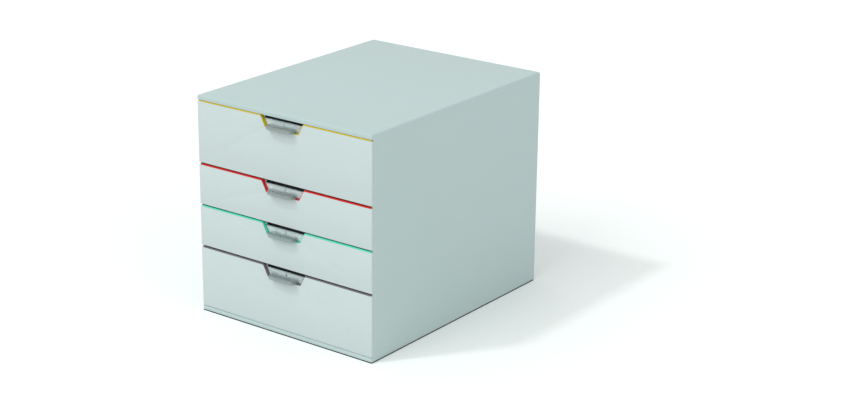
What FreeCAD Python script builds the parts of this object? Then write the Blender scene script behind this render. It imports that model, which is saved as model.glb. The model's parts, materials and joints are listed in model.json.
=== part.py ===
"""Desktop file drawer: a housing for a stack of drawers, each with a clear handle and a coloured strip.

Frame: +X to the right seen from the front, the fronts face -Y, +Z up. The origin is on the floor, under
the middle of the whole object. Every body is drawn from the plane of the drawer fronts (its y = 0), and
a drawer's pieces also from the module line under that drawer (their z = 0). Millimetres throughout.
"""
import FreeCAD, Part
import math
import os

import Sketcher

# Driving dimensions. Each is a cell of the sheet, under the same name.
SIZES = {
    # Housing
    "housing_width": 280.0,
    "housing_depth": 356.0,
    "housing_wall": 2.6,
    "housing_corner_radius": 3.0,
    "housing_edge_radius": 1.2,
    "base_lip": 5.8,
    "lid_lip": 6.2,
    "lip_depth": 2.5,
    "housing_rib_width": 1.6,
    "housing_rib_pitch": 55.0,
    "rear_thickness": 2.5,
    "rear_rebate": 1.3,
    "rear_clearance": 0.15,
    # Stack of modules
    "module_pitch": 28.0,
    "base_gap": 0.4,
    "lid_overlap": 1.2,
    # Feet
    "foot_height": 0.8,
    "foot_radius": 9.0,
    "foot_inset": 24.0,
    "foot_recess": 0.6,
    "foot_clearance": 0.3,
    # Runners
    "runner_plate": 3.0,
    "runner_front": 18.0,
    "runner_end_gap": 0.5,
    "ledge_drop": 9.0,
    "ledge_thickness": 2.0,
    "groove_height": 3.2,
    "guide_thickness": 1.5,
    "ledge_clearance": 1.0,
    "nib_length": 2.0,
    "nib_reach": 1.3,
    # Trays
    "tray_side_gap": 12.0,
    "tray_front_gap": 16.0,
    "tray_rear_gap": 14.0,
    "tray_wall": 1.8,
    "tray_rise": 1.5,
    "tray_corner": 4.0,
    "tray_floor_bevel": 3.0,
    "flange_thickness": 2.4,
    "flange_clearance": 1.9,
    "lug_length": 6.0,
    "lug_clearance": 0.5,
    "drawer_travel": 250.0,
    "stop_clearance": 0.3,
    # Fronts
    "front_thickness": 2.6,
    "front_rise": 0.3,
    "front_drop": 1.7,
    "front_round": 1.2,
    "front_seam": 0.3,
    "front_side_clearance": 1.0,
    "return_wall": 1.8,
    "front_rib_depth": 8.0,
    "front_rib_pitch": 32.0,
    # Strips and the notch for the handle
    "strip_thickness": 1.5,
    "strip_depth": 8.0,
    "strip_side_gap": 2.0,
    "strip_end_round": 2.0,
    "strip_leg": 4.4,
    "lining_thickness": 0.6,
    "notch_half_top": 35.0,
    "notch_half_bottom": 26.8,
    "notch_drop": 15.3,
    "notch_top_round": 3.0,
    "notch_floor_round": 2.0,
    # Handles and labels
    "handle_recess": 3.1,
    "handle_wall": 1.6,
    "handle_clearance": 0.15,
    "window_drop": 4.8,
    "ledge_level": 9.2,
    "handle_half_width": 20.5,
    "handle_reach": 9.0,
    "handle_bulge_depth": 1.0,
    "handle_corner": 4.5,
    "handle_edge_bevel": 0.7,
    "handle_floor_gap": 0.3,
    "label_thickness": 0.6,
    "label_margin": 0.6,
}

# Modules taken by each drawer, from the top one down.
MODULE_COUNTS = (3, 2, 2, 3)
RIB_COUNT = 5
SHEET_NAME = "Sizes"
ON_PLACE = 1e-4


class Length:
    """A size: its present value, and the expression that ties it to the sheet's cells."""

    def __init__(self, value, text):
        self.value = value
        self.text = text

    @staticmethod
    def of(size):
        """Returns size itself if it is a Length, or a plain number as one."""
        return size if isinstance(size, Length) else Length(float(size), repr(float(size)))

    def joined(self, other, sign, value):
        """Returns the Length of this one and another with a sign between them."""
        return Length(value, f"({self.text} {sign} {Length.of(other).text})")

    def __add__(self, other):
        return self.joined(other, "+", self.value + Length.of(other).value)

    def __sub__(self, other):
        return self.joined(other, "-", self.value - Length.of(other).value)

    def __mul__(self, other):
        return self.joined(other, "*", self.value * Length.of(other).value)

    def __truediv__(self, other):
        return self.joined(other, "/", self.value / Length.of(other).value)

    def __neg__(self):
        return Length(-self.value, f"(0 - {self.text})")

    def root(self):
        """Returns the square root."""
        return Length(math.sqrt(self.value), f"sqrt({self.text})")


def size(name):
    """Returns the driving dimension of that name."""
    return Length(SIZES[name], f"{SHEET_NAME}.{name}")


ZERO = Length.of(0.0)


# ---------------------------------------------------------------------------------------------------
# Levels and places that several pieces share
# ---------------------------------------------------------------------------------------------------

HALF_WIDTH = size("housing_width") / 2
DEPTH = size("housing_depth")
FRONT_PLANE = (size("handle_reach") - DEPTH) / 2
PITCH = size("module_pitch")

BASE_UNDERSIDE = size("foot_height")
BASE_FLOOR = BASE_UNDERSIDE + size("housing_wall")
OPENING_BOTTOM = BASE_UNDERSIDE + size("base_lip")
MODULE_ZERO = OPENING_BOTTOM + size("base_gap")
MODULE_TOP = MODULE_ZERO + PITCH * sum(MODULE_COUNTS)
OPENING_TOP = MODULE_TOP - size("lid_overlap")
LID_TOP = OPENING_TOP + size("lid_lip")
LID_CEILING = LID_TOP - size("housing_wall")

INNER_HALF = HALF_WIDTH - size("housing_wall")
SIDE_FRONT = size("front_thickness") + size("front_seam")
REAR_SEAT = DEPTH - size("rear_thickness")
FOOT_X = HALF_WIDTH - size("foot_inset")
FOOT_FRONT_Y = size("foot_inset")
FOOT_REAR_Y = DEPTH - size("foot_inset")

TRAY_HALF = HALF_WIDTH - size("tray_side_gap")
TRAY_FRONT = size("tray_front_gap")
TRAY_REAR = DEPTH - size("tray_rear_gap")
# The flat part of the tray's front wall, where the front's returned rim is seated.
SEAT_HALF = TRAY_HALF - size("tray_corner")
SEAT_BOTTOM = size("tray_rise") + size("tray_floor_bevel")
WEB_FACE = INNER_HALF - size("runner_plate")
LEDGE_TIP = TRAY_HALF + size("ledge_clearance")
RUNNER_FRONT = size("runner_front")
RUNNER_REAR = REAR_SEAT - size("runner_end_gap")
FLANGE_EDGE = WEB_FACE - size("flange_clearance")
LUG_TIP = WEB_FACE - size("lug_clearance")
LUG_FRONT = RUNNER_FRONT + size("nib_length") + size("stop_clearance") + size("drawer_travel")
FLANGE_FRONT = TRAY_FRONT + size("tray_corner")
FLANGE_REAR = TRAY_REAR - size("tray_corner")

STRIP = size("strip_thickness")
LINING = size("lining_thickness")
NOTCH_SLOPE = (size("notch_half_top") - size("notch_half_bottom")) / size("notch_drop")
# How far apart two lines along the notch's slanted side are, measured level, for each mm between them.
SLANT = (NOTCH_SLOPE * NOTCH_SLOPE + 1).root()
STRIP_END = HALF_WIDTH - size("strip_side_gap")
BEHIND_SEAM_HALF = INNER_HALF - size("front_side_clearance")
WINDOW_FRONT = size("handle_recess")
WINDOW_BACK = WINDOW_FRONT + size("handle_wall")
POCKET_BACK = WINDOW_BACK + size("label_thickness")


# ---------------------------------------------------------------------------------------------------
# Helpers for sketches and features
# ---------------------------------------------------------------------------------------------------

def new_body(document, label, y=FRONT_PLANE, z=ZERO, x=ZERO):
    """Adds a body with its own label, placed by expressions."""
    body = document.addObject("PartDesign::Body", label)
    body.Label = label
    body.setExpression("Placement.Base.x", x.text)
    body.setExpression("Placement.Base.y", y.text)
    body.setExpression("Placement.Base.z", z.text)
    return body


def origin_feature(body, role):
    """Returns one of the body's own origin planes or axes."""
    return next(feature for feature in body.Origin.OriginFeatures if feature.Role == role)


def new_sketch(body, name, plane, level=ZERO):
    """Adds a sketch on an origin plane of the body, moved to a level along the axis it faces."""
    sketch = body.newObject("Sketcher::SketchObject", name)
    sketch.AttachmentSupport = [(origin_feature(body, plane), "")]
    sketch.MapMode = "FlatFace"
    # The XZ plane's normal is -Y.
    along_normal = -level if plane == "XZ_Plane" else level
    sketch.setExpression("AttachmentOffset.Base.z", along_normal.text)
    return sketch


def faces_backwards(sketch):
    """Tells whether the sketch's normal points against its axis."""
    return sketch.AttachmentSupport[0][0].Role == "XZ_Plane"


def pin(sketch, direction, geometry, point, distance):
    """Ties a point of the sketch's geometry to the origin, at a signed distance along X or Y."""
    if distance.value == 0.0:
        axis = -2 if direction == "DistanceX" else -1
        sketch.addConstraint(Sketcher.Constraint("PointOnObject", geometry, point, axis))
        return
    if distance.value > 0:
        tie = Sketcher.Constraint(direction, -1, 1, geometry, point, distance.value)
    else:
        distance = -distance
        tie = Sketcher.Constraint(direction, geometry, point, -1, 1, distance.value)
    index = sketch.addConstraint(tie)
    sketch.setExpression(f"Constraints[{index}]", distance.text)


def draw_polygon(sketch, corners):
    """Draws a closed outline through corners, each a pair of lengths from the sketch's origin."""
    first = sketch.GeometryCount
    points = [FreeCAD.Vector(across.value, up.value, 0) for across, up in corners]
    for start, end in zip(points, points[1:] + points[:1]):
        sketch.addGeometry(Part.LineSegment(start, end), False)
    last = sketch.GeometryCount - 1
    for line in range(first, last + 1):
        following = first if line == last else line + 1
        sketch.addConstraint(Sketcher.Constraint("Coincident", line, 2, following, 1))
    for line, (across, up) in enumerate(corners, first):
        pin(sketch, "DistanceX", line, 1, across)
        pin(sketch, "DistanceY", line, 1, up)


def draw_rectangle(sketch, left, right, bottom, top):
    """Draws a rectangle between four lengths from the sketch's origin."""
    draw_polygon(sketch, [(left, bottom), (right, bottom), (right, top), (left, top)])


def draw_rounded_rectangle(sketch, left, right, bottom, top, radius):
    """Draws a rectangle between four lengths from the sketch's origin, its corners rounded."""
    sides = [
        ((left + radius, bottom), (right - radius, bottom)),
        ((right, bottom + radius), (right, top - radius)),
        ((right - radius, top), (left + radius, top)),
        ((left, top - radius), (left, bottom + radius)),
    ]
    middles = [(right - radius, bottom + radius), (right - radius, top - radius)]
    middles += [(left + radius, top - radius), (left + radius, bottom + radius)]
    lines = []
    for start, end in sides:
        points = [FreeCAD.Vector(across.value, up.value, 0) for across, up in (start, end)]
        line = sketch.addGeometry(Part.LineSegment(*points), False)
        for point, (across, up) in enumerate((start, end), 1):
            pin(sketch, "DistanceX", line, point, across)
            pin(sketch, "DistanceY", line, point, up)
        lines.append(line)
    for corner, (across, up) in enumerate(middles):
        centre = FreeCAD.Vector(across.value, up.value, 0)
        circle = Part.Circle(centre, FreeCAD.Vector(0, 0, 1), radius.value)
        turn = math.pi / 2 * (corner - 1)
        arc = sketch.addGeometry(Part.ArcOfCircle(circle, turn, turn + math.pi / 2), False)
        sketch.addConstraint(Sketcher.Constraint("Coincident", lines[corner], 2, arc, 1))
        sketch.addConstraint(Sketcher.Constraint("Coincident", arc, 2, lines[(corner + 1) % 4], 1))
        index = sketch.addConstraint(Sketcher.Constraint("Radius", arc, radius.value))
        sketch.setExpression(f"Constraints[{index}]", radius.text)


def draw_circle(sketch, across, up, radius):
    """Draws a circle about a point given by two lengths from the sketch's origin."""
    centre = FreeCAD.Vector(across.value, up.value, 0)
    circle = sketch.addGeometry(Part.Circle(centre, FreeCAD.Vector(0, 0, 1), radius.value), False)
    pin(sketch, "DistanceX", circle, 3, across)
    pin(sketch, "DistanceY", circle, 3, up)
    index = sketch.addConstraint(Sketcher.Constraint("Radius", circle, radius.value))
    sketch.setExpression(f"Constraints[{index}]", radius.text)


def pad(body, sketch, length, name):
    """Adds material from the sketch, towards the higher values of its axis."""
    feature = body.newObject("PartDesign::Pad", name)
    feature.Profile = sketch
    feature.setExpression("Length", length.text)
    feature.Reversed = faces_backwards(sketch)
    body.Tip = feature
    return feature


def pocket(body, sketch, length, name):
    """Cuts the sketch away, towards the higher values of its axis."""
    feature = body.newObject("PartDesign::Pocket", name)
    feature.Profile = sketch
    feature.setExpression("Length", length.text)
    feature.Reversed = not faces_backwards(sketch)
    body.Tip = feature
    return feature


def lies_at(edge, places):
    """Tells whether both ends of an edge are at each given coordinate, such as {"x": (-5, 5)}."""
    for axis, allowed in places.items():
        for vertex in edge.Vertexes:
            coordinate = getattr(vertex.Point, axis)
            if all(abs(coordinate - place) > ON_PLACE for place in allowed):
                return False
    return True


def runs_along(edge, axis):
    """Tells whether an edge is straight and parallel to an axis."""
    if edge.Curve.TypeId != "Part::GeomLine":
        return False
    return abs(getattr(edge.Curve.Direction, axis)) > 1 - ON_PLACE


def dress_edges(body, kind, chosen, name):
    """Adds a Fillet or Chamfer on those edges of the body's shape that chosen picks."""
    body.Document.recompute()
    base = body.Tip
    edges = [f"Edge{number}" for number, edge in enumerate(base.Shape.Edges, 1) if chosen(edge)]
    feature = body.newObject(f"PartDesign::{kind}", name)
    feature.Base = (base, edges)
    body.Tip = feature
    return feature


def fillet(body, radius, chosen, name):
    """Rounds the chosen edges."""
    dress_edges(body, "Fillet", chosen, name).setExpression("Radius", radius.text)


def chamfer(body, bevel, chosen, name):
    """Bevels the chosen edges at 45 degrees."""
    dress_edges(body, "Chamfer", chosen, name).setExpression("Size", bevel.text)


def line_pattern(body, originals, axis, length, occurrences, name):
    """Repeats features in a row along one of the body's axes."""
    feature = body.newObject("PartDesign::LinearPattern", name)
    feature.Originals = originals
    feature.Direction = (origin_feature(body, axis), [""])
    feature.setExpression("Length", length.text)
    feature.Occurrences = occurrences
    body.Tip = feature
    return feature


# ---------------------------------------------------------------------------------------------------
# Housing
# ---------------------------------------------------------------------------------------------------

def add_shell_ribs(body, bottom, top, name):
    """Stiffens the lid or the base with ribs from the front lip to the back cover's seat."""
    first_x = -size("housing_rib_pitch") * ((RIB_COUNT - 1) / 2)
    half_rib = size("housing_rib_width") / 2
    profile = new_sketch(body, f"{name}_profile", "XZ_Plane", size("lip_depth"))
    draw_rectangle(profile, first_x - half_rib, first_x + half_rib, bottom, top)
    rib = pad(body, profile, REAR_SEAT - size("lip_depth"), name)
    row = size("housing_rib_pitch") * (RIB_COUNT - 1)
    line_pattern(body, [rib], "X_Axis", row, RIB_COUNT, f"{name}_row")


def draw_rear_outline(sketch, margin):
    """Draws the housing's outline, moved in by margin."""
    draw_rounded_rectangle(
        sketch,
        -HALF_WIDTH + margin,
        HALF_WIDTH - margin,
        BASE_UNDERSIDE + margin,
        LID_TOP - margin,
        size("housing_corner_radius") - margin,
    )


def make_housing_shell(document):
    """Lid, side walls and base in one moulding; lid and base run forward over and under the fronts."""
    body = new_body(document, "housing_shell")
    outline = new_sketch(body, "shell_outline", "XZ_Plane")
    draw_rectangle(outline, -HALF_WIDTH, HALF_WIDTH, BASE_UNDERSIDE, LID_TOP)
    pad(body, outline, DEPTH, "shell_block")
    top, bottom = LID_TOP.value, BASE_UNDERSIDE.value

    def at_lid_side(edge):
        return runs_along(edge, "y") and lies_at(edge, {"z": (top,)})

    def at_front_or_base_side(edge):
        return lies_at(edge, {"y": (0.0,)}) or (runs_along(edge, "y") and lies_at(edge, {"z": (bottom,)}))

    fillet(body, size("housing_corner_radius"), at_lid_side, "lid_side_edges")
    fillet(body, size("housing_edge_radius"), at_front_or_base_side, "front_and_base_edges")

    mouth = new_sketch(body, "mouth_profile", "XZ_Plane")
    draw_rectangle(mouth, -INNER_HALF, INNER_HALF, OPENING_BOTTOM, OPENING_TOP)
    pocket(body, mouth, size("lip_depth"), "mouth")

    cavity = new_sketch(body, "cavity_profile", "XZ_Plane", size("lip_depth"))
    draw_rectangle(cavity, -INNER_HALF, INNER_HALF, BASE_FLOOR, LID_CEILING)
    pocket(body, cavity, DEPTH - size("lip_depth"), "cavity")

    step = new_sketch(body, "front_step_profile", "XZ_Plane")
    draw_rectangle(step, -HALF_WIDTH, HALF_WIDTH, OPENING_BOTTOM, OPENING_TOP)
    pocket(body, step, SIDE_FRONT, "front_step")

    seat = new_sketch(body, "rear_seat_profile", "XZ_Plane", REAR_SEAT)
    draw_rear_outline(seat, size("rear_rebate"))
    pocket(body, seat, size("rear_thickness"), "rear_seat")

    add_shell_ribs(body, OPENING_TOP, LID_CEILING, "lid_rib")
    add_shell_ribs(body, BASE_FLOOR, OPENING_BOTTOM, "base_rib")

    recesses = new_sketch(body, "foot_recess_profile", "XY_Plane", BASE_UNDERSIDE)
    for across in (-FOOT_X, FOOT_X):
        for along in (FOOT_FRONT_Y, FOOT_REAR_Y):
            draw_circle(recesses, across, along, size("foot_radius") + size("foot_clearance"))
    pocket(body, recesses, size("foot_recess"), "foot_recesses")
    return body


def make_rear_panel(document):
    """Back cover, seated on the shoulder inside the housing's rear edge."""
    body = new_body(document, "rear_panel")
    outline = new_sketch(body, "rear_outline", "XZ_Plane", REAR_SEAT)
    draw_rear_outline(outline, size("rear_rebate") + size("rear_clearance"))
    pad(body, outline, size("rear_thickness"), "rear_plate")
    return body


def make_foot(document, label, x, y):
    """Rubber foot: a disc seated in a shallow recess of the base."""
    body = new_body(document, label, FRONT_PLANE + y, ZERO, x)
    disc = new_sketch(body, "foot_outline", "XY_Plane")
    draw_circle(disc, ZERO, ZERO, size("foot_radius"))
    pad(body, disc, BASE_UNDERSIDE + size("foot_recess"), "foot_disc")
    return body


def make_runner(document, label, side):
    """Runner comb on a side wall: a ledge and a guide per module, a nib and an end wall in each groove."""
    body = new_body(document, label)
    length = RUNNER_REAR - RUNNER_FRONT
    plate = new_sketch(body, "web_profile", "XZ_Plane", RUNNER_FRONT)
    draw_rectangle(plate, WEB_FACE * side, INNER_HALF * side, MODULE_ZERO, MODULE_TOP)
    pad(body, plate, length, "web")

    groove_bottom = MODULE_ZERO + PITCH - size("ledge_drop")
    groove_top = groove_bottom + size("groove_height")
    ledges = new_sketch(body, "ledge_profile", "XZ_Plane", RUNNER_FRONT)
    draw_rectangle(
        ledges, LEDGE_TIP * side, WEB_FACE * side, groove_bottom - size("ledge_thickness"), groove_bottom
    )
    draw_rectangle(
        ledges, LEDGE_TIP * side, WEB_FACE * side, groove_top, groove_top + size("guide_thickness")
    )
    ledge = pad(body, ledges, length, "ledge_and_guide")

    nibs = new_sketch(body, "nib_profile", "XZ_Plane", RUNNER_FRONT)
    nib_face = WEB_FACE - size("nib_reach")
    draw_rectangle(nibs, nib_face * side, WEB_FACE * side, groove_bottom, groove_top)
    nib = pad(body, nibs, size("nib_length"), "stop_nib")

    ends = new_sketch(body, "end_wall_profile", "XZ_Plane", FLANGE_REAR + size("stop_clearance"))
    draw_rectangle(ends, LEDGE_TIP * side, WEB_FACE * side, groove_bottom, groove_top)
    end_wall = pad(body, ends, RUNNER_REAR - FLANGE_REAR - size("stop_clearance"), "end_wall")

    modules = sum(MODULE_COUNTS)
    line_pattern(body, [ledge, nib, end_wall], "Z_Axis", PITCH * (modules - 1), modules, "module_row")
    return body


# ---------------------------------------------------------------------------------------------------
# Drawers
# ---------------------------------------------------------------------------------------------------

class Drawer:
    """Levels of one drawer above its own module line, and where that line is."""

    def __init__(self, number):
        below = sum(MODULE_COUNTS[number:])
        self.number = number
        self.module_line = MODULE_ZERO + PITCH * below
        self.height = PITCH * MODULE_COUNTS[number - 1]
        self.strip_top = self.height - size("front_drop")
        self.front_top = self.strip_top - STRIP
        self.flange_seat = self.height - size("ledge_drop")
        self.rim = self.flange_seat + size("flange_thickness")
        self.notch_bottom = self.strip_top - size("notch_drop")
        self.notch_floor = self.notch_bottom + LINING
        self.window_top = self.strip_top - size("window_drop")
        self.ledge_top = self.strip_top - size("ledge_level")

    def body(self, document, piece):
        """Adds the body of one of this drawer's pieces."""
        return new_body(document, f"{piece}_{self.number}", FRONT_PLANE, self.module_line)

    def notch_half(self, level, inset=ZERO):
        """Half-width of the notch at a level, with its slanted sides moved in by inset."""
        half = size("notch_half_bottom") + NOTCH_SLOPE * (level - self.notch_bottom)
        return half - SLANT * inset

    def trapezoid(self, bottom, top, inset):
        """Corners of the notch's outline between two levels, moved in by inset."""
        return [
            (-self.notch_half(bottom, inset), bottom),
            (self.notch_half(bottom, inset), bottom),
            (self.notch_half(top, inset), top),
            (-self.notch_half(top, inset), top),
        ]


def make_tray(document, drawer):
    """Open tray with rounded corners, a flange along each side of the rim and a stop lug on each flange."""
    body = drawer.body(document, "tray")
    bottom = size("tray_rise")
    wall = size("tray_wall")
    outline = new_sketch(body, "tray_outline", "XY_Plane", bottom)
    draw_rectangle(outline, -TRAY_HALF, TRAY_HALF, TRAY_FRONT, TRAY_REAR)
    pad(body, outline, drawer.rim - bottom, "tray_block")
    fillet(body, size("tray_corner"), lambda edge: runs_along(edge, "z"), "tray_corners")
    chamfer(
        body, size("tray_floor_bevel"), lambda edge: lies_at(edge, {"z": (bottom.value,)}), "tray_floor_edge"
    )

    inside = new_sketch(body, "inside_outline", "XY_Plane", bottom + wall)
    draw_rounded_rectangle(
        inside,
        -TRAY_HALF + wall,
        TRAY_HALF - wall,
        TRAY_FRONT + wall,
        TRAY_REAR - wall,
        size("tray_corner") - wall,
    )
    pocket(body, inside, drawer.rim - bottom - wall, "inside")
    floor = (bottom + wall).value
    chamfer(
        body,
        size("tray_floor_bevel") - wall,
        lambda edge: lies_at(edge, {"z": (floor,)}),
        "inside_floor_edge",
    )

    flanges = new_sketch(body, "flange_profile", "XZ_Plane", FLANGE_FRONT)
    root = TRAY_HALF - wall / 2
    for side in (-1, 1):
        draw_rectangle(flanges, root * side, FLANGE_EDGE * side, drawer.flange_seat, drawer.rim)
    pad(body, flanges, FLANGE_REAR - FLANGE_FRONT, "flanges")

    lugs = new_sketch(body, "lug_outline", "XY_Plane", drawer.flange_seat)
    lug_root = FLANGE_EDGE - size("lug_clearance")
    for side in (-1, 1):
        draw_rectangle(lugs, lug_root * side, LUG_TIP * side, LUG_FRONT, LUG_FRONT + size("lug_length"))
    pad(body, lugs, size("flange_thickness"), "lugs")
    return body


def make_front(document, drawer):
    """Hollow front: a face plate over the whole width, a returned rim and the pocket for the handle."""
    body = drawer.body(document, "front")
    thickness = size("front_thickness")
    wall = size("return_wall")
    face = new_sketch(body, "face_outline", "XZ_Plane")
    draw_rectangle(face, -HALF_WIDTH, HALF_WIDTH, size("front_rise"), drawer.front_top)
    pad(body, face, thickness, "face_plate")
    half_width = HALF_WIDTH.value
    fillet(
        body,
        size("front_round"),
        lambda edge: runs_along(edge, "z") and lies_at(edge, {"y": (0.0,), "x": (-half_width, half_width)}),
        "face_side_edges",
    )

    rim = new_sketch(body, "rim_profile", "XZ_Plane", thickness)
    draw_polygon(
        rim,
        [
            (-SEAT_HALF, SEAT_BOTTOM),
            (SEAT_HALF, SEAT_BOTTOM),
            (SEAT_HALF, drawer.rim),
            (SEAT_HALF - wall, drawer.rim),
            (SEAT_HALF - wall, SEAT_BOTTOM + wall),
            (-SEAT_HALF + wall, SEAT_BOTTOM + wall),
            (-SEAT_HALF + wall, drawer.rim),
            (-SEAT_HALF, drawer.rim),
        ],
    )
    pad(body, rim, TRAY_FRONT - thickness, "returned_rim")

    shelf = new_sketch(body, "shelf_profile", "XZ_Plane", thickness)
    draw_rectangle(
        shelf, -BEHIND_SEAM_HALF, BEHIND_SEAM_HALF, drawer.front_top - wall, drawer.front_top
    )
    pad(body, shelf, size("strip_depth") - thickness, "strip_shelf")

    cup = new_sketch(body, "cup_profile", "XZ_Plane", thickness)
    draw_polygon(cup, drawer.trapezoid(drawer.notch_bottom - wall, drawer.front_top - wall, -wall))
    pad(body, cup, POCKET_BACK + wall - thickness, "handle_cup")

    ribs = new_sketch(body, "rib_profile", "XZ_Plane", thickness)
    for side in (-1, 1):
        for rib in (1, 2):
            outer = (SEAT_HALF - size("front_rib_pitch") * rib) * side
            inner = outer - wall * side
            draw_rectangle(ribs, inner, outer, SEAT_BOTTOM + wall, drawer.front_top - wall)
    pad(body, ribs, size("front_rib_depth") - thickness, "face_ribs")

    notch = new_sketch(body, "notch_profile", "XZ_Plane")
    draw_polygon(notch, drawer.trapezoid(drawer.notch_bottom, drawer.strip_top, ZERO))
    pocket(body, notch, POCKET_BACK, "notch")

    slot = new_sketch(body, "slot_profile", "XZ_Plane")
    slot_half = drawer.notch_half(drawer.window_top, LINING)
    draw_rectangle(slot, -slot_half, slot_half, drawer.window_top, drawer.strip_top)
    pocket(body, slot, TRAY_FRONT, "slot")

    def at_notch_top(edge):
        half = drawer.notch_half(drawer.front_top).value
        return runs_along(edge, "y") and lies_at(edge, {"x": (-half, half), "z": (drawer.front_top.value,)})

    def at_notch_floor(edge):
        half = size("notch_half_bottom").value
        return runs_along(edge, "y") and lies_at(edge, {"x": (-half, half), "z": (drawer.notch_bottom.value,)})

    fillet(body, size("notch_top_round"), at_notch_top, "notch_top_corners")
    fillet(body, size("notch_floor_round"), at_notch_floor, "notch_floor_corners")
    return body


def make_strip(document, drawer):
    """Coloured strip: covers the front's top edge, lines the notch and hooks behind the front's shelf."""
    body = drawer.body(document, "strip")
    top = drawer.strip_top
    upper = [
        (STRIP_END, top),
        (drawer.notch_half(top, LINING), top),
        (drawer.notch_half(drawer.notch_floor, LINING), drawer.notch_floor),
        (-drawer.notch_half(drawer.notch_floor, LINING), drawer.notch_floor),
        (-drawer.notch_half(top, LINING), top),
        (-STRIP_END, top),
    ]
    lower = [
        (-STRIP_END, drawer.front_top),
        (-drawer.notch_half(drawer.front_top), drawer.front_top),
        (-drawer.notch_half(drawer.notch_bottom), drawer.notch_bottom),
        (drawer.notch_half(drawer.notch_bottom), drawer.notch_bottom),
        (drawer.notch_half(drawer.front_top), drawer.front_top),
        (STRIP_END, drawer.front_top),
    ]
    band = new_sketch(body, "band_profile", "XZ_Plane")
    draw_polygon(band, upper + lower)
    pad(body, band, size("strip_depth"), "band")

    def bend_at(level, inset):
        half = drawer.notch_half(level, inset).value
        places = {"x": (-half, half), "z": (level.value,)}
        return lambda edge: runs_along(edge, "y") and lies_at(edge, places)

    top_round = size("notch_top_round")
    floor_round = size("notch_floor_round")
    fillet(body, top_round + LINING, bend_at(top, LINING), "top_bend_outside")
    fillet(body, top_round, bend_at(drawer.front_top, ZERO), "top_bend_inside")
    fillet(body, floor_round, bend_at(drawer.notch_bottom, ZERO), "floor_bend_outside")
    fillet(body, floor_round - LINING, bend_at(drawer.notch_floor, LINING), "floor_bend_inside")

    ends = {"x": (-STRIP_END.value, STRIP_END.value), "y": (0.0,)}
    fillet(
        body,
        size("strip_end_round"),
        lambda edge: runs_along(edge, "z") and lies_at(edge, ends),
        "strip_ends",
    )

    lining = new_sketch(body, "lining_end_profile", "XZ_Plane", POCKET_BACK)
    clear_half = size("notch_half_top") + top_round
    draw_rectangle(lining, -clear_half, clear_half, drawer.notch_bottom - STRIP, top + STRIP)
    pocket(body, lining, size("strip_depth") - POCKET_BACK, "lining_end")

    corners = new_sketch(body, "rear_corner_outline", "XY_Plane", drawer.front_top)
    for side in (-1, 1):
        draw_rectangle(
            corners,
            BEHIND_SEAM_HALF * side,
            HALF_WIDTH * side,
            size("front_thickness"),
            size("strip_depth") + STRIP,
        )
    pocket(body, corners, STRIP, "rear_corners")

    legs = new_sketch(body, "leg_profile", "XZ_Plane", size("strip_depth"))
    for side in (-1, 1):
        draw_rectangle(legs, clear_half * side, BEHIND_SEAM_HALF * side, top - size("strip_leg"), top)
    pad(body, legs, STRIP, "rear_legs")
    return body


def draw_lip(sketch, drawer_lip_back, inset):
    """Draws the plan of the handle's lip, moved in by inset: straight sides and a bulging front."""
    half = size("handle_half_width") - inset
    bulge = size("handle_bulge_depth")
    reach = -size("handle_reach") + inset
    shoulder = reach + bulge
    radius = (half * half + bulge * bulge) / (bulge * 2)
    back_left = FreeCAD.Vector(-half.value, drawer_lip_back.value, 0)
    back_right = FreeCAD.Vector(half.value, drawer_lip_back.value, 0)
    front_left = FreeCAD.Vector(-half.value, shoulder.value, 0)
    front_right = FreeCAD.Vector(half.value, shoulder.value, 0)
    nose = FreeCAD.Vector(0, reach.value, 0)
    back = sketch.addGeometry(Part.LineSegment(back_right, back_left), False)
    left = sketch.addGeometry(Part.LineSegment(back_left, front_left), False)
    front = sketch.addGeometry(Part.Arc(front_left, nose, front_right), False)
    right = sketch.addGeometry(Part.LineSegment(front_right, back_right), False)
    sketch.addConstraint(Sketcher.Constraint("Coincident", back, 2, left, 1))
    sketch.addConstraint(Sketcher.Constraint("Coincident", left, 2, front, 1))
    sketch.addConstraint(Sketcher.Constraint("Coincident", front, 2, right, 1))
    sketch.addConstraint(Sketcher.Constraint("Coincident", right, 2, back, 1))
    pin(sketch, "DistanceX", back, 1, half)
    pin(sketch, "DistanceX", left, 1, -half)
    pin(sketch, "DistanceY", back, 1, drawer_lip_back)
    pin(sketch, "DistanceY", left, 1, drawer_lip_back)
    pin(sketch, "DistanceX", front, 1, -half)
    pin(sketch, "DistanceX", right, 1, half)
    pin(sketch, "DistanceY", front, 1, shoulder)
    pin(sketch, "DistanceY", right, 1, shoulder)
    index = sketch.addConstraint(Sketcher.Constraint("Radius", front, radius.value))
    sketch.setExpression(f"Constraints[{index}]", radius.text)


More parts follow.
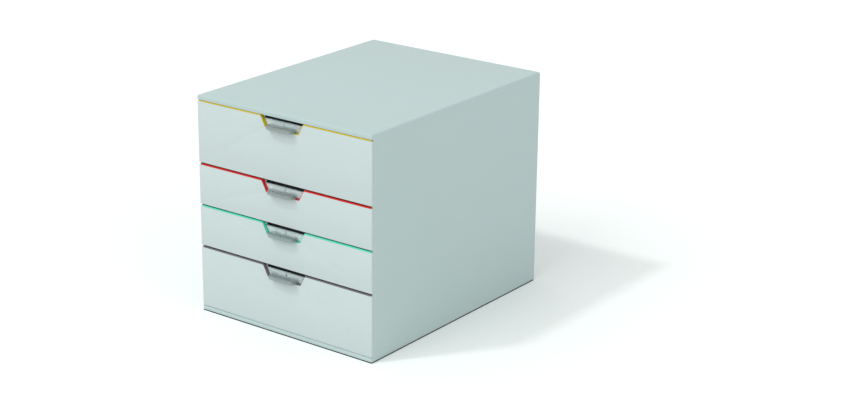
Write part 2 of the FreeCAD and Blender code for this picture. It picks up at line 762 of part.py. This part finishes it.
def make_handle(document, drawer):
    """Clear handle: a window plate in the notch, and a lip that reaches forward and turns down."""
    body = drawer.body(document, "handle")
    wall = size("handle_wall")
    inset = LINING + size("handle_clearance")
    plate_bottom = drawer.notch_floor
    plate = new_sketch(body, "window_profile", "XZ_Plane", WINDOW_FRONT)
    draw_polygon(plate, drawer.trapezoid(plate_bottom, drawer.window_top, inset))
    pad(body, plate, wall, "window")
    fillet(
        body,
        size("notch_floor_round") - LINING + size("handle_clearance"),
        lambda edge: runs_along(edge, "y") and lies_at(edge, {"z": (plate_bottom.value,)}),
        "window_corners",
    )

    lip_bottom = drawer.notch_floor + size("handle_floor_gap")
    lip_root = WINDOW_FRONT + wall / 2
    lip = new_sketch(body, "lip_outline", "XY_Plane", lip_bottom)
    draw_lip(lip, lip_root, ZERO)
    pad(body, lip, drawer.ledge_top - lip_bottom, "lip")

    def at_lip_corner(inset_by):
        half = size("handle_half_width").value - inset_by
        shoulder = -size("handle_reach").value + inset_by + size("handle_bulge_depth").value
        places = {"x": (-half, half), "y": (shoulder,)}
        return lambda edge: runs_along(edge, "z") and lies_at(edge, places)

    fillet(body, size("handle_corner"), at_lip_corner(0.0), "lip_corners")

    grip = new_sketch(body, "grip_outline", "XY_Plane", lip_bottom)
    draw_lip(grip, WINDOW_FRONT, wall)
    pocket(body, grip, drawer.ledge_top - wall - lip_bottom, "grip_hollow")
    fillet(body, size("handle_corner") - wall, at_lip_corner(wall.value), "grip_corners")

    ledge_top = drawer.ledge_top.value
    chamfer(
        body,
        size("handle_edge_bevel"),
        lambda edge: lies_at(edge, {"z": (ledge_top,)}) and edge.BoundBox.YMin < 0,
        "lip_edge",
    )
    return body


def make_label(document, drawer):
    """Card behind the window."""
    body = drawer.body(document, "label")
    margin = size("label_margin")
    card = new_sketch(body, "card_outline", "XZ_Plane", WINDOW_BACK)
    draw_polygon(
        card, drawer.trapezoid(drawer.notch_floor + margin, drawer.window_top - margin, LINING + margin)
    )
    pad(body, card, size("label_thickness"), "card")
    return body


# ---------------------------------------------------------------------------------------------------
# Document
# ---------------------------------------------------------------------------------------------------

def fill_sheet(document):
    """Writes the driving dimensions into the sheet: names in column A, numbers with aliases in column B."""
    sheet = document.addObject("Spreadsheet::Sheet", SHEET_NAME)
    for row, (name, value) in enumerate(SIZES.items(), 1):
        sheet.set(f"A{row}", name)
        sheet.set(f"B{row}", str(value))
        sheet.setAlias(f"B{row}", name)
    document.recompute()


def make_pieces(document):
    """Builds every piece and returns the bodies."""
    pieces = [
        make_housing_shell(document),
        make_rear_panel(document),
        make_runner(document, "runner_left", -1),
        make_runner(document, "runner_right", 1),
        make_foot(document, "foot_front_left", -FOOT_X, FOOT_FRONT_Y),
        make_foot(document, "foot_front_right", FOOT_X, FOOT_FRONT_Y),
        make_foot(document, "foot_rear_left", -FOOT_X, FOOT_REAR_Y),
        make_foot(document, "foot_rear_right", FOOT_X, FOOT_REAR_Y),
    ]
    for number in range(1, len(MODULE_COUNTS) + 1):
        drawer = Drawer(number)
        for make in (make_tray, make_front, make_strip, make_handle, make_label):
            pieces.append(make(document, drawer))
    return pieces


def check(document, pieces):
    """Stops the build if a feature failed, a pocket cut nothing or a piece isn't one valid solid."""
    for item in document.Objects:
        if "Invalid" in item.State or "Error" in item.State:
            raise RuntimeError(f"{item.Label}: {item.State}")
        if item.TypeId == "PartDesign::Pocket" and item.Shape.Volume >= item.BaseFeature.Shape.Volume:
            raise RuntimeError(f"{item.Label} cut nothing")
    for piece in pieces:
        if piece.Shape.isNull() or not piece.Shape.isValid() or len(piece.Shape.Solids) != 1:
            raise RuntimeError(f"{piece.Label} isn't one valid solid")


def main():
    os.makedirs("parts", exist_ok=True)
    document = FreeCAD.newDocument("FileDrawer")
    fill_sheet(document)
    pieces = make_pieces(document)
    document.recompute()
    check(document, pieces)
    for piece in pieces:
        piece.Shape.exportStep(f"parts/{piece.Label}.step")


main()
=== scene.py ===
"""Looks of the desktop file drawer: moulded finishes, softened edges, clear handles and a pale studio.

Every length is in metres, in the same frame as the solids: +X to the right seen from the front, the
drawer fronts face -Y, +Z up, and the origin is on the floor under the middle of the object.
"""

import json
import logging
import math
from collections.abc import Callable
from dataclasses import dataclass
from enum import Enum

import bpy
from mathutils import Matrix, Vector


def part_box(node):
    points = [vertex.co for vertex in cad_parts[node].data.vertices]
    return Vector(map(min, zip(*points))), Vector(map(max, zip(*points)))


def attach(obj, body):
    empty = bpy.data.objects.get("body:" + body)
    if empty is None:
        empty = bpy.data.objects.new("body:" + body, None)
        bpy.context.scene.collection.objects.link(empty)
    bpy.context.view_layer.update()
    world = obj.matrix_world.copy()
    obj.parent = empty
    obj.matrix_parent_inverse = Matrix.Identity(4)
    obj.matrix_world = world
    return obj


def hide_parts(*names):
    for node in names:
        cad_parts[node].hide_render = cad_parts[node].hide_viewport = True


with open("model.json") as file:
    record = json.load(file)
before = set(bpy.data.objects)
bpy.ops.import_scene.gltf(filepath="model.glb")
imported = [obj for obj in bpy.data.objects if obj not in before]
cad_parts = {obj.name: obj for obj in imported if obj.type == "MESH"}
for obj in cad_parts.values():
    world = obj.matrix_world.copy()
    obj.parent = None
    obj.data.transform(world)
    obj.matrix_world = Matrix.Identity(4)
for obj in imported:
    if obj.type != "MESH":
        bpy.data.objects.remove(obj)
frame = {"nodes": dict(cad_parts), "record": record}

LOG = logging.getLogger("file_drawer")
MM = 0.001
MERGE_DISTANCE = 0.001 * MM
FLAT_ANGLE = math.radians(0.5)
SMOOTH_ANGLE = math.radians(30)
Triple = tuple[float, float, float]
Colour = Triple


# ---------------------------------------------------------------------------------------------------
# Shader building
# ---------------------------------------------------------------------------------------------------

class Reading:
    """One output socket of a shader tree, with the arithmetic that adds Math nodes to it."""

    def __init__(self, tree: "ShaderTree", socket: bpy.types.NodeSocket) -> None:
        """Keeps the socket and the tree that it belongs to."""
        self.tree = tree
        self.socket = socket

    def __add__(self, other: "Reading | float") -> "Reading":
        """Returns the sum."""
        return self.tree.math("ADD", self, other)

    def __radd__(self, other: float) -> "Reading":
        """Returns the sum with a number on the left."""
        return self.tree.math("ADD", other, self)

    def __sub__(self, other: "Reading | float") -> "Reading":
        """Returns the difference."""
        return self.tree.math("SUBTRACT", self, other)

    def __rsub__(self, other: float) -> "Reading":
        """Returns a number less this reading."""
        return self.tree.math("SUBTRACT", other, self)

    def __mul__(self, other: "Reading | float") -> "Reading":
        """Returns the product."""
        return self.tree.math("MULTIPLY", self, other)

    def __rmul__(self, other: float) -> "Reading":
        """Returns the product with a number on the left."""
        return self.tree.math("MULTIPLY", other, self)


class ShaderTree:
    """The node tree of one material or world, emptied and ready to be filled."""

    def __init__(self, owner: bpy.types.Material | bpy.types.World) -> None:
        """Turns the owner's nodes on and clears them.

        Args:
            owner: The material or world whose tree is built.
        """
        owner.use_nodes = True
        self.nodes = owner.node_tree.nodes
        self.links = owner.node_tree.links
        self.nodes.clear()

    def add(
        self,
        kind: str,
        settings: dict[str, object] | None = None,
        inputs: dict[str | int, object] | None = None,
    ) -> bpy.types.Node:
        """Adds a node.

        Args:
            kind: The node's type, such as "ShaderNodeTexNoise".
            settings: Its attributes, set first.
            inputs: Values, or readings to link, for its sockets by name or number.

        Returns:
            The node.
        """
        node = self.nodes.new(kind)
        for name, value in (settings or {}).items():
            setattr(node, name, value)
        for key, value in (inputs or {}).items():
            if isinstance(value, Reading):
                self.links.new(value.socket, node.inputs[key])
            else:
                node.inputs[key].default_value = value
        return node

    def read(
        self,
        kind: str,
        output: str | int,
        settings: dict[str, object] | None = None,
        inputs: dict[str | int, object] | None = None,
    ) -> Reading:
        """Adds a node and returns a reading of one of its outputs.

        Args:
            kind: The node's type.
            output: The output's name or number.
            settings: As in add.
            inputs: As in add.

        Returns:
            The reading.
        """
        return Reading(self, self.add(kind, settings, inputs).outputs[output])

    def math(self, operation: str, first: Reading | float, second: Reading | float) -> Reading:
        """Adds a Math node.

        Args:
            operation: The node's operation.
            first: Its first value.
            second: Its second value.

        Returns:
            The result's reading.
        """
        return self.read("ShaderNodeMath", 0, {"operation": operation}, {0: first, 1: second})

    def blend(self, factor: Reading | float, first: Colour | Reading, second: Colour | Reading) -> Reading:
        """Adds a Mix node for colours.

        Args:
            factor: 0 for the first colour, 1 for the second.
            first: The first colour.
            second: The second colour.

        Returns:
            The mixed colour's reading.
        """
        ends = {
            key: (*end, 1.0) if isinstance(end, tuple) else end for key, end in ((6, first), (7, second))
        }
        return self.read("ShaderNodeMix", 2, {"data_type": "RGBA"}, {0: factor, **ends})

    def noise(self, feature_size: float, detail: float, stretch: Triple = (1.0, 1.0, 1.0)) -> Reading:
        """Adds noise on the piece's own coordinates.

        Args:
            feature_size: The size of its blotches, in metres.
            detail: Its finer octaves.
            stretch: How many times longer the blotches are along X, Y and Z.

        Returns:
            A reading from 0 to 1, mostly about 0.5.
        """
        place = self.read("ShaderNodeTexCoord", "Object")
        scale = tuple(1.0 / part for part in stretch)
        mapped = self.read("ShaderNodeMapping", 0, {}, {"Vector": place, "Scale": scale})
        return self.read(
            "ShaderNodeTexNoise", "Fac", {}, {"Vector": mapped, "Scale": 1.0 / feature_size, "Detail": detail}
        )

    def finish(self, shader: Reading) -> None:
        """Links a shader to the material's output."""
        self.add("ShaderNodeOutputMaterial", {}, {"Surface": shader})

    def finish_solid(
        self,
        colour: Reading,
        roughness: Reading,
        height: Reading,
        relief: float,
        constants: dict[str | int, object] | None = None,
    ) -> None:
        """Links a Principled shader with a bump to the material's output.

        Args:
            colour: The base colour.
            roughness: The roughness.
            height: The bump's pattern, from 0 to 1.
            relief: The height of that pattern, in metres.
            constants: Values of other sockets that are the same all over the piece.
        """
        bump = self.read("ShaderNodeBump", 0, {}, {"Height": height, "Distance": relief, "Strength": 1.0})
        inputs = {"Base Color": colour, "Roughness": roughness, "Normal": bump, **(constants or {})}
        self.finish(self.read("ShaderNodeBsdfPrincipled", 0, {}, inputs))


# ---------------------------------------------------------------------------------------------------
# Finishes
# ---------------------------------------------------------------------------------------------------

def shade(colour: Colour, factor: float) -> Colour:
    """Returns a colour made lighter or darker by a factor."""
    return tuple(min(1.0, part * factor) for part in colour)


@dataclass(frozen=True)
class MouldedPlastic:
    """Injection-moulded plastic with an eroded grain, faint flow marks and a slightly uneven sheen."""

    name: str
    colour: Colour
    roughness: float = 0.5
    mottle: float = 0.02
    mottle_size: float = 0.06
    flow_stretch: Triple = (1.0, 6.0, 1.0)
    flow_share: float = 0.4
    grain_size: float = 0.0007
    grain_height: float = 0.00004
    refraction: float = 1.5
    sheen_drop: float = 0.05
    blotch_sheen: float = 0.06
    grain_sheen: float = 0.04

    def material(self) -> bpy.types.Material:
        """Builds the material.

        Returns:
            The material.
        """
        made = bpy.data.materials.new(self.name)
        tree = ShaderTree(made)
        blotches = tree.noise(self.mottle_size, detail=2.0)
        flow = tree.noise(self.mottle_size / 2, detail=3.0, stretch=self.flow_stretch)
        tone = blotches * (1 - self.flow_share) + flow * self.flow_share
        colour = tree.blend(tone, shade(self.colour, 1 - self.mottle), shade(self.colour, 1 + self.mottle))
        grain = tree.noise(self.grain_size, detail=3.0)
        roughness = self.roughness - self.sheen_drop + blotches * self.blotch_sheen + grain * self.grain_sheen
        tree.finish_solid(colour, roughness, grain, self.grain_height, {"IOR": self.refraction})
        return made


@dataclass(frozen=True)
class ClearPlastic:
    """Clear plastic: polished faces with a faint haze and a slight waviness."""

    name: str
    tint: Colour
    opacity: float
    roughness: float = 0.12
    refraction: float = 1.5
    haze_size: float = 0.004
    haze_tone: float = 0.02
    haze_sheen: float = 0.04
    wave_height: float = 0.00002

    def material(self) -> bpy.types.Material:
        """Builds the material.

        Returns:
            The material.
        """
        made = bpy.data.materials.new(self.name)
        tree = ShaderTree(made)
        haze = tree.noise(self.haze_size, detail=2.0)
        colour = tree.blend(haze, shade(self.tint, 1 - self.haze_tone), shade(self.tint, 1 + self.haze_tone))
        roughness = self.roughness + haze * self.haze_sheen
        constants = {"IOR": self.refraction, "Alpha": self.opacity}
        tree.finish_solid(colour, roughness, haze, self.wave_height, constants)
        return made


@dataclass(frozen=True)
class CardPaper:
    """Uncoated card with fibres."""

    name: str
    colour: Colour
    fibre_size: float = 0.0006
    fibre_stretch: Triple = (5.0, 1.0, 1.0)
    fibre_height: float = 0.00002
    cloud_size: float = 0.008
    darkest: float = 0.96
    lightest: float = 1.03
    roughness: float = 0.85
    fibre_sheen: float = 0.1

    def material(self) -> bpy.types.Material:
        """Builds the material.

        Returns:
            The material.
        """
        made = bpy.data.materials.new(self.name)
        tree = ShaderTree(made)
        fibres = tree.noise(self.fibre_size, detail=4.0, stretch=self.fibre_stretch)
        cloud = tree.noise(self.cloud_size, detail=2.0)
        tone = fibres * 0.5 + cloud * 0.5
        colour = tree.blend(tone, shade(self.colour, self.darkest), shade(self.colour, self.lightest))
        tree.finish_solid(colour, self.roughness + fibres * self.fibre_sheen, fibres, self.fibre_height)
        return made


@dataclass(frozen=True)
class FootRubber:
    """Dark rubber with a dusty bloom."""

    name: str
    colour: Colour
    bloom_size: float = 0.003
    bloom_gain: float = 1.6
    grain_size: float = 0.0005
    grain_height: float = 0.00005
    roughness: float = 0.7
    bloom_sheen: float = 0.2

    def material(self) -> bpy.types.Material:
        """Builds the material.

        Returns:
            The material.
        """
        made = bpy.data.materials.new(self.name)
        tree = ShaderTree(made)
        bloom = tree.noise(self.bloom_size, detail=3.0)
        grain = tree.noise(self.grain_size, detail=2.0)
        colour = tree.blend(bloom, self.colour, shade(self.colour, self.bloom_gain))
        tree.finish_solid(colour, self.roughness + bloom * self.bloom_sheen, grain, self.grain_height)
        return made


class Finish(Enum):
    """The finishes of the object."""

    HOUSING = MouldedPlastic("housing_plastic", (0.451, 0.577, 0.565))
    RUNNER = MouldedPlastic("runner_plastic", (0.451, 0.577, 0.565), roughness=0.42)
    FRONT = MouldedPlastic("front_plastic", (0.529, 0.628, 0.621))
    TRAY = MouldedPlastic("tray_plastic", (0.540, 0.640, 0.632), roughness=0.45)
    STRIP_YELLOW = MouldedPlastic("strip_yellow_plastic", (0.62, 0.48, 0.004), roughness=0.40, refraction=1.3)
    STRIP_RED = MouldedPlastic("strip_red_plastic", (0.66, 0.025, 0.022), roughness=0.40, refraction=1.3)
    STRIP_GREEN = MouldedPlastic("strip_green_plastic", (0.11, 0.70, 0.45), roughness=0.40, refraction=1.3)
    STRIP_GRAPHITE = MouldedPlastic(
        "strip_graphite_plastic", (0.17, 0.15, 0.17), roughness=0.40, refraction=1.3
    )
    # Painted shade: a near-black finish for the tray's front face, which shows only through the slot above
    # each handle, in place of the shade in that slot.
    CAVITY = MouldedPlastic("tray_painted_slot_shade", (0.09, 0.10, 0.10), roughness=0.7, refraction=1.2)
    WINDOW = ClearPlastic("handle_window_plastic", (0.38, 0.48, 0.48), opacity=0.12)
    LIP = ClearPlastic("handle_lip_plastic", (0.30, 0.37, 0.37), opacity=0.58)
    CARD = CardPaper("label_card_paper", (0.80, 0.92, 0.92))
    INK = CardPaper("label_ink", (0.05, 0.055, 0.06))
    RUBBER = FootRubber("foot_rubber", (0.02, 0.021, 0.022))


class Workshop:
    """Builds each finish's material once and puts it on pieces."""

    def __init__(self) -> None:
        """Starts with no materials."""
        self._materials: dict[Finish, bpy.types.Material] = {}

    def _material(self, finish: Finish) -> bpy.types.Material:
        """Returns a finish's material, built on its first use."""
        if finish not in self._materials:
            self._materials[finish] = finish.value.material()
        return self._materials[finish]

    def dress(self, piece: bpy.types.Object, finish: Finish) -> None:
        """Gives the whole piece one finish.

        Args:
            piece: The piece's object.
            finish: Its finish.
        """
        piece.data.materials.clear()
        piece.data.materials.append(self._material(finish))

    def dress_part(self, piece: bpy.types.Object, finish: Finish, chosen: Callable[[Vector], bool]) -> None:
        """Gives some faces of a dressed piece another finish.

        Args:
            piece: The piece's object.
            finish: The other finish.
            chosen: Tells from a face's middle whether it gets that finish.
        """
        piece.data.materials.append(self._material(finish))
        slot = len(piece.data.materials) - 1
        for face in piece.data.polygons:
            if chosen(face.center):
                face.material_index = slot


# ---------------------------------------------------------------------------------------------------
# Modelling helpers
# ---------------------------------------------------------------------------------------------------

def take_up(piece: bpy.types.Object) -> None:
    """Selects only this piece and makes it the active one.

    Args:
        piece: The piece's object.
    """
    bpy.ops.object.select_all(action="DESELECT")
    piece.select_set(True)
    bpy.context.view_layer.objects.active = piece


def apply_modifiers(piece: bpy.types.Object) -> None:
    """Applies all modifiers of the piece.

    Args:
        piece: The piece's object.
    """
    take_up(piece)
    for modifier in list(piece.modifiers):
        bpy.ops.object.modifier_apply(modifier=modifier.name)


@dataclass(frozen=True)
class Softening:
    """How the edges of a moulding are rounded."""

    width: float = 0.25 * MM
    segments: int = 2
    sharper_than: float = math.radians(40)

    def apply(self, piece: bpy.types.Object) -> None:
        """Rounds the piece's sharp edges and smooths its shading.

        Args:
            piece: The piece's object.
        """
        bevel = piece.modifiers.new("edge_softening", "BEVEL")
        bevel.width = self.width
        bevel.segments = self.segments
        bevel.limit_method = "ANGLE"
        bevel.angle_limit = self.sharper_than
        bevel.use_clamp_overlap = False
        bevel.harden_normals = False
        apply_modifiers(piece)
        bpy.ops.object.shade_smooth_by_angle(angle=SMOOTH_ANGLE)


def moulded_copy(node: str, softening: Softening) -> bpy.types.Object:
    """Makes a piece from a node's mesh, with its triangles merged and its edges rounded.

    Args:
        node: The node's name.
        softening: How its edges are rounded.

    Returns:
        The piece, which replaces the node and rides on its body.
    """
    source = frame["nodes"][node]
    piece = bpy.data.objects.new(f"{node}_moulding", source.data.copy())
    bpy.context.scene.collection.objects.link(piece)
    take_up(piece)
    bpy.ops.object.mode_set(mode="EDIT")
    bpy.ops.mesh.select_all(action="SELECT")
    bpy.ops.mesh.remove_doubles(threshold=MERGE_DISTANCE)
    bpy.ops.mesh.dissolve_limited(angle_limit=FLAT_ANGLE)
    bpy.ops.object.mode_set(mode="OBJECT")
    softening.apply(piece)
    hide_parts(node)
    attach(piece, body_of(node))
    return piece


def shrink(piece: bpy.types.Object, depth: float) -> None:
    """Moves all faces of the piece inwards.

    Args:
        piece: The piece's object.
        depth: How far each face moves.
    """
    take_up(piece)
    bpy.ops.object.mode_set(mode="EDIT")
    bpy.ops.mesh.select_all(action="SELECT")
    bpy.ops.transform.shrink_fatten(value=-depth, use_even_offset=True)
    bpy.ops.object.mode_set(mode="OBJECT")


def body_of(node: str) -> str:
    """Returns the name of the body that a node belongs to."""
    bodies = frame["record"]["behaviour"]["bodies"]
    return next(name for name, nodes in bodies.items() if node in nodes)


# ---------------------------------------------------------------------------------------------------
# The object
# ---------------------------------------------------------------------------------------------------

@dataclass
class Housing:
    """Shell, back cover, runners and feet."""

    workshop: Workshop
    shell_softening: Softening = Softening(0.3 * MM)
    runner_softening: Softening = Softening(0.15 * MM, 1)
    foot_softening: Softening = Softening(0.4 * MM, 3)

    def build(self) -> list[bpy.types.Object]:
        """Makes and dresses the housing's pieces.

        Returns:
            The pieces.
        """
        feet = [f"foot_{end}_{side}" for end in ("front", "rear") for side in ("left", "right")]
        plan = (
            (("housing_shell", "rear_panel"), self.shell_softening, Finish.HOUSING, "housing"),
            (("runner_left", "runner_right"), self.runner_softening, Finish.RUNNER, "runner"),
            (feet, self.foot_softening, Finish.RUBBER, "rubber_foot"),
        )
        made = []
        for nodes, softening, finish, slot in plan:
            for node in nodes:
                piece = moulded_copy(node, softening)
                self.workshop.dress(piece, finish)
                made.append(piece)
        return made


class StripColour(Enum):
    """Strip finishes from the top drawer down, each with the record's slot."""

    YELLOW = (Finish.STRIP_YELLOW, "strip_yellow")
    RED = (Finish.STRIP_RED, "strip_red")
    GREEN = (Finish.STRIP_GREEN, "strip_green")
    GRAPHITE = (Finish.STRIP_GRAPHITE, "strip_graphite")


@dataclass
class Drawer:
    """One drawer: tray, front, coloured strip, clear handle and label card."""

    workshop: Workshop
    number: int
    strip_colour: StripColour
    card_gap: float = 0.1 * MM
    window_thickness: float = 1.6 * MM
    number_size: float = 6.4 * MM
    number_drop: float = 3.3 * MM
    ink_thickness: float = 0.04 * MM
    # How far behind the tray's front face the painted slot shade reaches.
    cavity_depth: float = 0.2 * MM
    lip_clearance: float = 0.1 * MM
    tray_softening: Softening = Softening(0.3 * MM)
    front_softening: Softening = Softening(0.25 * MM)
    strip_softening: Softening = Softening(0.15 * MM)
    handle_softening: Softening = Softening(0.25 * MM, 3)
    card_softening: Softening = Softening(0.05 * MM, 1)

    def build(self) -> list[bpy.types.Object]:
        """Makes and dresses the drawer's pieces.

        Returns:
            The pieces.
        """
        strip_finish, strip_slot = self.strip_colour.value
        plan = (
            ("tray", self.tray_softening, Finish.TRAY, "tray"),
            ("front", self.front_softening, Finish.FRONT, "front"),
            ("strip", self.strip_softening, strip_finish, strip_slot),
            ("handle", self.handle_softening, Finish.WINDOW, "clear_handle"),
            ("label", self.card_softening, Finish.CARD, "label_card"),
        )
        made = []
        for kind, softening, finish, slot in plan:
            piece = moulded_copy(f"{kind}_{self.number}", softening)
            if kind == "label":
                shrink(piece, self.card_gap)
            self.workshop.dress(piece, finish)
            made.append(piece)
        tray, _, _, handle, _ = made
        card_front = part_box(f"label_{self.number}")[0][1]
        # Painted shade: the tray's front face, seen only through the slot, gets the near-black finish in
        # place of the shade there.
        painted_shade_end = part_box(f"tray_{self.number}")[0][1] + self.cavity_depth
        lip_end = card_front - self.window_thickness - self.lip_clearance
        self.workshop.dress_part(tray, Finish.CAVITY, lambda middle: middle[1] < painted_shade_end)
        self.workshop.dress_part(handle, Finish.LIP, lambda middle: middle[1] < lip_end)
        made.append(self._number(card_front + self.card_gap))
        return made

    def _number(self, card_face: float) -> bpy.types.Object:
        """Prints the drawer's number on its card.

        Args:
            card_face: Where the card's front face is along Y.

        Returns:
            The number.
        """
        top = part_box(f"label_{self.number}")[1][2]
        bpy.ops.object.text_add()
        piece = bpy.context.active_object
        piece.name = f"card_number_{self.number}"
        piece.data.body = str(self.number)
        piece.data.size = self.number_size
        piece.data.align_x = "CENTER"
        piece.data.align_y = "CENTER"
        piece.data.extrude = self.ink_thickness / 2
        take_up(piece)
        bpy.ops.object.convert(target="MESH")
        piece.rotation_euler = (math.pi / 2, 0.0, 0.0)
        piece.location = (0.0, card_face - self.ink_thickness / 2, top - self.number_drop)
        bpy.ops.object.transform_apply(location=True, rotation=True, scale=True)
        self.workshop.dress(piece, Finish.INK)
        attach(piece, body_of(f"label_{self.number}"))
        return piece


# ---------------------------------------------------------------------------------------------------
# Studio
# ---------------------------------------------------------------------------------------------------

@dataclass(frozen=True)
class StudioLamp:
    """A far lamp behind a round diffuser.

    Its place is given as seen from the object: the turn from straight ahead of the fronts towards the
    right, and the height above the floor, both in degrees. The spread is the diffuser's apparent width.
    """

    name: str
    turn: float
    height: float
    strength: float
    spread: float

    def build(self) -> None:
        """Adds the lamp."""
        turn, height = math.radians(self.turn), math.radians(self.height)
        towards = Vector(
            (math.sin(turn) * math.cos(height), -math.cos(turn) * math.cos(height), math.sin(height))
        )
        lamp = bpy.data.lights.new(self.name, "SUN")
        lamp.energy = self.strength
        lamp.angle = math.radians(self.spread)
        holder = bpy.data.objects.new(self.name, lamp)
        holder.rotation_euler = towards.to_track_quat("Z", "Y").to_euler()
        bpy.context.scene.collection.objects.link(holder)


RAYS_THAT_SHOW = ("Is Camera Ray", "Is Glossy Ray", "Is Transmission Ray")
STUDIO_LAMPS = (
    StudioLamp("key_lamp", turn=-35.0, height=55.7, strength=0.563, spread=5.0),
    StudioLamp("front_softbox", turn=-16.0, height=45.0, strength=0.80, spread=45.0),
    StudioLamp("side_softbox", turn=72.0, height=22.0, strength=0.31, spread=35.0),
)


@dataclass
class Studio:
    """Pale floor, soft light and the camera."""

    frame_width: float = 854.0
    floor_reach: float = 14.0
    floor_colour: Colour = (0.86, 0.86, 0.86)
    shown_floor_colour: Colour = (0.96, 1.0, 0.99)
    # Painted contact shadow: the near-black floor colour under the housing, and how far past its edges it
    # reaches.
    covered_floor_colour: Colour = (0.05, 0.06, 0.06)
    covered_margin: float = 0.2 * MM
    sky_strength: float = 0.72
    camera_place: tuple[float, float, float] = (1.46535, -1.85613, 0.95500)
    camera_azimuth: float = math.radians(38.393)
    camera_elevation: float = math.radians(19.286)
    focal_pixels: float = 1913.33
    axis_pixel: float = 366.54
    sensor: float = 36.0
    camera_reach: float = 100.0

    def build(self) -> None:
        """Adds the floor, the world, the lamps and the camera."""
        self._floor()
        self._sky()
        for lamp in STUDIO_LAMPS:
            lamp.build()
        self._camera()
        bpy.context.scene.view_settings.view_transform = "Standard"

    @staticmethod
    def _seen(tree: ShaderTree) -> Reading:
        """Tells the rays that show a surface from the light that it passes on.

        Args:
            tree: The tree that reads it.

        Returns:
            1 for camera, glossy and transmission rays, and 0 for others.
        """
        path = tree.add("ShaderNodeLightPath")
        rays = [Reading(tree, path.outputs[name]) for name in RAYS_THAT_SHOW]
        return tree.math("MINIMUM", rays[0] + rays[1] + rays[2], 1.0)

    def _covered(self, tree: ShaderTree) -> Reading:
        """Tells the floor under the housing, where a painted contact shadow stands in for the dark of the
        narrow gap there.

        Args:
            tree: The floor's tree.

        Returns:
            1 under the housing, and 0 elsewhere.
        """
        low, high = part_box("housing_shell")
        place = tree.read("ShaderNodeTexCoord", "Object")
        parts = tree.add("ShaderNodeSeparateXYZ", {}, {"Vector": place})
        inside = None
        for axis in (0, 1):
            middle, half = (low[axis] + high[axis]) / 2, (high[axis] - low[axis]) / 2
            offset = Reading(tree, parts.outputs[axis]) - middle
            distance = tree.math("ABSOLUTE", offset, 0.0)
            within = tree.math("LESS_THAN", distance, half + self.covered_margin)
            inside = within if inside is None else inside * within
        return inside

    def _floor(self) -> None:
        """Adds the floor, which keeps the object's shadow, carries a painted contact shadow under the housing
        and shows as white elsewhere.
        """
        bpy.ops.mesh.primitive_plane_add(size=2 * self.floor_reach)
        floor = bpy.context.active_object
        floor.name = "studio_floor"
        material = bpy.data.materials.new("studio_floor_paint")
        tree = ShaderTree(material)
        colour = tree.blend(self._seen(tree), self.floor_colour, self.shown_floor_colour)
        # Painted contact shadow: the floor under the housing is given the near-black colour.
        colour = tree.blend(self._covered(tree), colour, self.covered_floor_colour)
        surface = tree.read("ShaderNodeBsdfDiffuse", 0, {}, {"Color": colour})
        tree.finish(surface)
        floor.data.materials.append(material)

    def _sky(self) -> None:
        """Fills the world with even light that looks white."""
        world = bpy.data.worlds.new("studio_sky")
        bpy.context.scene.world = world
        tree = ShaderTree(world)
        seen = self._seen(tree)
        strength = seen + (1 - seen) * self.sky_strength
        inputs = {"Color": (1.0, 1.0, 1.0, 1.0), "Strength": strength}
        light = tree.read("ShaderNodeBackground", 0, {}, inputs)
        tree.add("ShaderNodeOutputWorld", {}, {"Surface": light})

    def _camera(self) -> None:
        """Adds the camera."""
        camera = bpy.data.cameras.new("studio_camera")
        camera.sensor_width = self.sensor
        camera.lens = self.sensor * self.focal_pixels / self.frame_width
        camera.shift_x = 0.5 - self.axis_pixel / self.frame_width
        camera.clip_end = self.camera_reach
        holder = bpy.data.objects.new("studio_camera", camera)
        holder.location = self.camera_place
        holder.rotation_euler = (math.pi / 2 - self.camera_elevation, 0.0, self.camera_azimuth)
        bpy.context.scene.collection.objects.link(holder)
        bpy.context.scene.camera = holder


def main() -> None:
    """Builds the object and the studio, and reports each piece."""
    logging.basicConfig(level=logging.INFO, format="%(name)s: %(message)s")
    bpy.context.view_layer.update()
    workshop = Workshop()
    pieces = Housing(workshop).build()
    for number, strip_colour in enumerate(StripColour, 1):
        pieces += Drawer(workshop, number, strip_colour).build()
    Studio().build()
    for piece in pieces:
        LOG.info("%s: %d faces", piece.name, len(piece.data.polygons))


if __name__ == "__main__":
    main()
